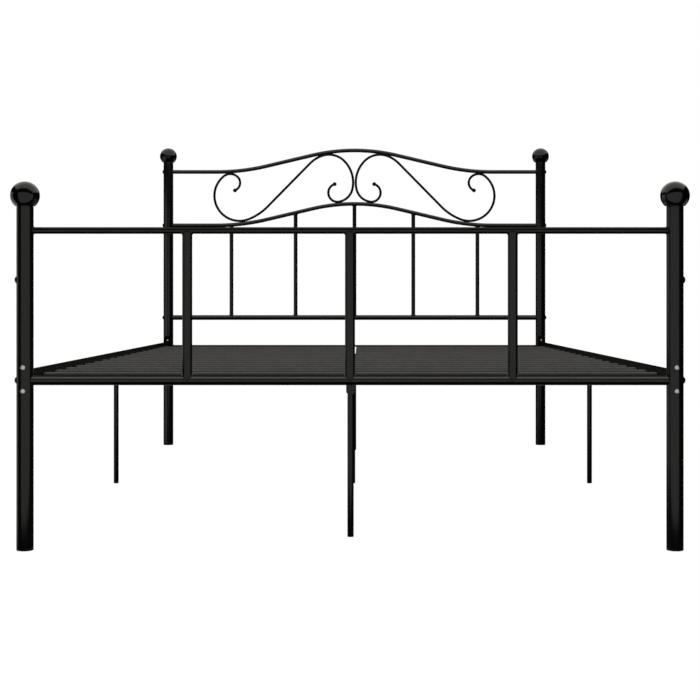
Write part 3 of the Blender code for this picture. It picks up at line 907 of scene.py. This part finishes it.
def add_leg(node):
    """A thin leg with its plate welded on top, a plug in its foot, and on the centre legs a tab in front."""
    low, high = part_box(node)
    leg_x, leg_y, plate_x, half_x, half_y = LEGS[node]
    plate_low = high.z - LEG_PLATE_THICKNESS
    shape = Shape()
    foot = Vector((leg_x, leg_y, LEG_PLUG_FLANGE))
    top = Vector((leg_x, leg_y, plate_low + SINK))
    ends = sweep(shape, [foot, top], LEG_RADIUS, TUBE_STEPS)
    weld(shape, ends[1], LEG_WELD)

    def place(u, v, level):
        return Vector((plate_x + u, leg_y + v, level))

    plate = rounded_outline(rectangle(-half_x, half_x, -half_y, half_y, LEG_PLATE_CORNER), 5)
    prism(shape, plate, place, plate_low, high.z, EDGE)
    if node.startswith("centre"):
        add_tab(shape, leg_x, leg_y, plate_low)
    make_piece(node + "_tube", shape, POWDER, "powder_coat", UPRIGHTS, node)
    bore = LEG_RADIUS - LEG_WALL
    profile = [
        (0, 0),
        *fillet(LEG_RADIUS - LEG_PLUG_EDGE, LEG_PLUG_EDGE, LEG_PLUG_EDGE, -90, 0, 4),
        (LEG_RADIUS, LEG_PLUG_FLANGE),
        (bore, LEG_PLUG_FLANGE),
        (bore, LEG_PLUG_TOP),
        (0, LEG_PLUG_TOP),
    ]
    plug = Shape()
    turn_profile(plug, Vector((leg_x, leg_y, low.z)), Z, profile, TUBE_STEPS)
    make_piece(node + "_plug", plug, CAP, "cap", UPRIGHTS)


# ---------------------------------------------------------------- bolts

def socket_head(radius, height, crown, flats, depth):
    """Profile of a bolt head from its washer face out, and the ring where its socket starts."""
    rise = height - crown
    rim = BOLT_RIM
    outer = [(radius - rim, 0), (radius, rim), (radius, max(rim, rise - rim))]
    dome_edge = radius - rim * 0.6
    socket_edge = flats * 1.22
    steps = 8
    dome = []
    for i in range(steps + 1):
        share = i / steps
        dome.append((dome_edge + (socket_edge - dome_edge) * share, rise + crown * sin(share * pi / 2)))
    socket = [(flats, height - 0.0001), (flats, height - depth), (0, height - depth - flats * 0.5)]
    return [(0, 0), *outer, *dome, *socket], 1 + len(outer) + len(dome)


def add_bolt(node, axis, look, slot, head):
    """A bolt head against its post, and its shank behind it."""
    radius, height, crown, flats, depth = head
    low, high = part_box(node)
    middle = node_middle(node)
    far = high if axis.dot(Vector((1, 1, 1))) > 0 else low
    base = middle + axis * (far - middle).dot(axis) - axis * height
    profile, socket_start = socket_head(radius, height, crown, flats, depth)
    shape = Shape()
    turn_profile(shape, base, axis, profile, BOLT_STEPS, hexagon_from=socket_start)
    length = abs((high - low).dot(axis)) - height
    shank = [
        (0, 0.0),
        (SHANK_RADIUS, 0.0),
        (SHANK_RADIUS, length - SHANK_CHAMFER),
        (SHANK_RADIUS - SHANK_CHAMFER, length),
        (0, length),
    ]
    turn_profile(shape, base, -axis, shank, WIRE_STEPS)
    make_piece(node + "_head", shape, look, slot, UPRIGHTS, node)


def make_bolts():
    for end_name, end in ENDS:
        for side_name, side in SIDES:
            for level in ("lower", "upper"):
                node = f"rail_bolt_{end_name}_{side_name}_{level}"
                add_bolt(node, Y * end, ZINC, "zinc", RAIL_BOLT)
            levels = ("lower", "upper") if end_name == "foot" else ("lower", "middle", "top")
            for level in levels:
                node = f"dome_bolt_{end_name}_{side_name}_{level}"
                add_bolt(node, X * side, BLACK_BOLT, "black_bolt", DOME_BOLT)


# ---------------------------------------------------------------- floor, light and camera

FLOOR_HALF = 40
PANEL_COLOUR = (1.0, 0.995, 0.955)
SKY_COLOUR = (1.0, 0.995, 0.985, 1)


def make_floor():
    """A pale floor, bright as the backdrop, that takes only faint contact shadows."""
    mesh = bpy.data.meshes.new("floor")
    half = FLOOR_HALF
    corners = [(-half, -half, 0), (half, -half, 0), (half, half, 0), (-half, half, 0)]
    mesh.from_pydata(corners, [], [(0, 1, 2, 3)])
    look = bpy.data.materials.new("floor_white")
    look.use_nodes = True
    tree = look.node_tree
    shader = tree.nodes["Principled BSDF"]
    shader.inputs["Base Color"].default_value = (0.12, 0.12, 0.12, 1)
    shader.inputs["Roughness"].default_value = 0.9
    shader.inputs["Specular IOR Level"].default_value = 0
    shader.inputs["Emission Color"].default_value = (1, 1, 1, 1)
    shader.inputs["Emission Strength"].default_value = 1.0
    mesh.materials.append(look)
    floor = bpy.data.objects.new("floor", mesh)
    bpy.context.scene.collection.objects.link(floor)
    floor.visible_glossy = False
    floor.visible_diffuse = False
    floor.visible_shadow = False


class Sky:
    """A world of soft light patches, told apart by direction. The camera itself sees plain white."""

    def __init__(self):
        world = bpy.data.worlds.new("studio")
        world.use_nodes = True
        bpy.context.scene.world = world
        self.tree = world.node_tree
        direction = self.tree.nodes.new("ShaderNodeTexCoord").outputs["Generated"]
        split = self.tree.nodes.new("ShaderNodeSeparateXYZ")
        self.tree.links.new(direction, split.inputs[0])
        backwards = self.maths("MULTIPLY", split.outputs["Y"], -1)
        self.elevation = self.maths("MULTIPLY", self.maths("ARCSINE", split.outputs["Z"]), degrees(1))
        turn = self.maths("ARCTAN2", split.outputs["X"], backwards)
        self.azimuth = self.maths("MULTIPLY", self.maths("ABSOLUTE", turn), degrees(1))

    def maths(self, operation, first, second=None):
        node = self.tree.nodes.new("ShaderNodeMath")
        node.operation = operation
        for i, value in enumerate((first, second)):
            if isinstance(value, (int, float)):
                node.inputs[i].default_value = value
            elif value is not None:
                self.tree.links.new(value, node.inputs[i])
        return node.outputs[0]

    def step(self, value, middle, soft, rising):
        """A smooth step from 0 to 1, or back, about a middle value."""
        node = self.tree.nodes.new("ShaderNodeMapRange")
        node.interpolation_type = "SMOOTHSTEP"
        self.tree.links.new(value, node.inputs["Value"])
        node.inputs["From Min"].default_value = middle - soft
        node.inputs["From Max"].default_value = middle + soft
        node.inputs["To Min"].default_value = 0 if rising else 1
        node.inputs["To Max"].default_value = 1 if rising else 0
        return node.outputs["Result"]

    def window(self, value, low, high, soft):
        """One between two values and zero beyond them, with soft edges."""
        return self.maths("MULTIPLY", self.step(value, low, soft, True), self.step(value, high, soft, False))

    def panel(self, strength, elevations, azimuths, soft, side_soft):
        """A patch of light between two elevations and between two azimuths either side of the front."""
        tall = self.window(self.elevation, *elevations, soft)
        wide = self.window(self.azimuth, *azimuths, side_soft)
        return self.maths("MULTIPLY", self.maths("MULTIPLY", tall, wide), strength)

    def show(self, dark, patches):
        """Lights the scene with the brightest patch in each direction."""
        total = self.maths("MAXIMUM", patches[0], dark)
        for patch in patches[1:]:
            total = self.maths("MAXIMUM", total, patch)
        tree = self.tree
        light = tree.nodes["Background"]
        tree.links.new(total, light.inputs["Strength"])
        light.inputs["Color"].default_value = SKY_COLOUR
        white = tree.nodes.new("ShaderNodeBackground")
        white.inputs["Color"].default_value = (1, 1, 1, 1)
        mix = tree.nodes.new("ShaderNodeMixShader")
        seen = tree.nodes.new("ShaderNodeLightPath")
        tree.links.new(seen.outputs["Is Camera Ray"], mix.inputs[0])
        tree.links.new(light.outputs[0], mix.inputs[1])
        tree.links.new(white.outputs[0], mix.inputs[2])
        tree.links.new(mix.outputs[0], tree.nodes["World Output"].inputs["Surface"])


def make_panel(name, centre, turn, size, radiance, group):
    """A rectangular softbox that reaches one group of pieces. Unturned it faces down."""
    light = bpy.data.lights.new(name, "AREA")
    light.shape = "RECTANGLE"
    light.size, light.size_y = size
    light.energy = radiance * pi * size[0] * size[1]
    light.color = PANEL_COLOUR
    lamp = bpy.data.objects.new(name, light)
    lamp.location = centre
    lamp.rotation_euler = [radians(a) for a in turn]
    lamp.visible_camera = False
    lamp.light_linking.receiver_collection = group
    bpy.context.scene.collection.objects.link(lamp)


def make_light():
    """Softboxes in front, to the left and overhead, each with its own set of pieces, and a dim world."""
    down = (0, 0, 0)
    to_back = (90, 0, 0)
    to_right = (90, 0, -90)
    near_front = (0, cad_low.y - 0.28, 0.402)
    far_front = (0, -4.0, -0.25)
    left = (-1.32, 0, 0.385)
    above = (0, 0.25, 1.5)
    # Name, middle, turn, width and height or depth, radiance, pieces that it lights
    panels = [
        ("front_near", near_front, to_back, (1.78, 0.796), 0.50, UPRIGHTS),
        ("left_near", left, to_right, (2.0, 0.99), 0.48, UPRIGHTS),
        ("top_near", above, down, (3.2, 3.5), 0.95, UPRIGHTS),
        ("front_head_posts", near_front, to_back, (1.88, 0.796), 0.66, HEAD_POSTS),
        ("left_head_posts", left, to_right, (2.0, 0.99), 0.56, HEAD_POSTS),
        ("top_head_posts", above, down, (3.2, 3.5), 0.95, HEAD_POSTS),
        ("top_scrolls", above, down, (3.2, 3.3), 0.35, SCROLLS),
        ("front_head_rails", far_front, to_back, (8, 2.9), 0.57, HEAD_RAILS),
        ("front_top_rail", far_front, to_back, (8, 2.9), 0.57, TOP_RAIL),
        ("front_low_rail", far_front, to_back, (8, 2.9), 0.57, LOW_RAIL),
        ("top_head_rails", above, down, (3.2, 3.3), 1.1, HEAD_RAILS),
        ("top_top_rail", (0, -1.2, 1.5), down, (3.2, 1.0), 0.45, TOP_RAIL),
        ("top_low_rail", (0, -1.77, 1.5), down, (3.2, 1.38), 1.6, LOW_RAIL),
        ("top_deck", (0, 0.10, 1.5), down, (3.2, 4.0), 0.72, DECK),
    ]
    for panel in panels:
        make_panel(*panel)
    sky = Sky()
    sky.show(0.005, [
        sky.panel(0.40, elevations=(-42, -14), azimuths=(100, 200), soft=4, side_soft=6),
        sky.panel(0.15, elevations=(28, 50), azimuths=(130, 200), soft=6, side_soft=10),
    ])


def make_camera():
    lens = bpy.data.cameras.new("camera")
    lens.lens = 74.22
    lens.sensor_width = 36
    lens.shift_x = -0.01486
    lens.shift_y = -0.0663
    camera = bpy.data.objects.new("camera", lens)
    camera.location = (0.0197, -3.751, 0.4666)
    camera.rotation_euler = (radians(90), 0, 0)
    bpy.context.scene.collection.objects.link(camera)
    bpy.context.scene.camera = camera


for end_name, _ in ENDS:
    for side_name, _ in SIDES:
        add_post(end_name, side_name)
        add_finial(end_name, side_name)
        add_cap(end_name, side_name)
make_headboard()
make_footboard()
make_deck()
for node in LEGS:
    add_leg(node)
make_bolts()
make_floor()
make_light()
make_camera()
bpy.context.scene.view_settings.view_transform = "Standard"
